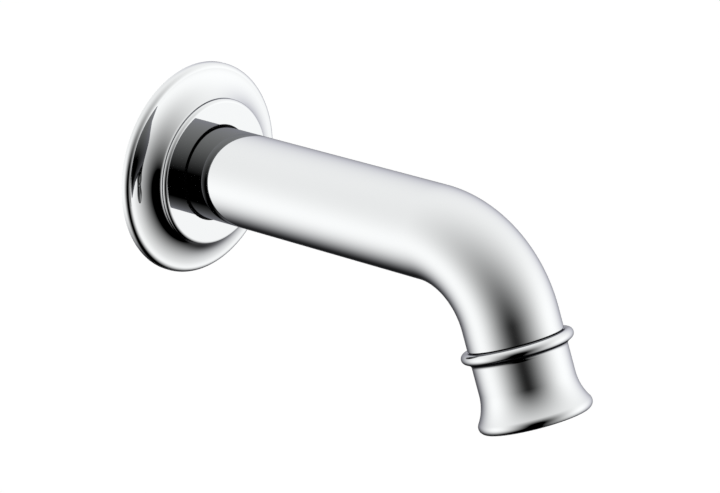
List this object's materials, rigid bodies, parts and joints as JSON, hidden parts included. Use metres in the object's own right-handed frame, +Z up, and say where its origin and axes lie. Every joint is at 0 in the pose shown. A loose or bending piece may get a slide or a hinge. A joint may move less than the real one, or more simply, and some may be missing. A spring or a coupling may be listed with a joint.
{
  "type": "wall spout",
  "caption": "Wall-mounted round bath or basin spout in polished metal: stepped cove flange, bent tube, beaded and flared nozzle with a honeycomb flow cartridge.",
  "frame": {"origin": "centre of the flange's back, on the surface of the wall", "axes": "+Y into the wall, -Y out along the tube, +Z up, X across"},
  "size_m": [0.0734, 0.1841, 0.0969],
  "materials": {
    "tube_chrome": "mirror polished chrome plate on brass tube",
    "flange_chrome": "mirror polished chrome plate on turned brass",
    "nozzle_chrome": "mirror polished chrome plate on turned brass",
    "sleeve_chrome": "plain chrome plate",
    "bare_brass": "turned brass, not plated",
    "black_rubber": "soft black rubber",
    "red_fibre": "pressed red fibre",
    "white_plastic": "moulded acetal",
    "grille_plastic": "grey moulded plastic",
    "steel_wire": "stainless wire",
    "screw_steel": "stainless screw"
  },
  "bodies": {
    "root": {"wall_flange": "flange_chrome", "flange_o_ring": "black_rubber", "wall_seal": "black_rubber", "spout_tube": "tube_chrome", "inlet_bush": "bare_brass", "wall_nipple": "bare_brass", "nipple_o_ring_front": "black_rubber", "nipple_o_ring_rear": "black_rubber", "nipple_washer": "red_fibre", "grub_screw": "screw_steel", "outlet_nozzle": "nozzle_chrome", "cartridge_washer": "black_rubber", "strainer_dome": "white_plastic", "regulator_body": "white_plastic", "regulator_ring": "black_rubber", "jet_plate": "white_plastic", "mixer_ring": "white_plastic", "upper_mesh": "steel_wire", "lower_mesh": "steel_wire", "cartridge_sleeve": "sleeve_chrome", "outlet_grille": "grille_plastic"}
  },
  "joints": []
}
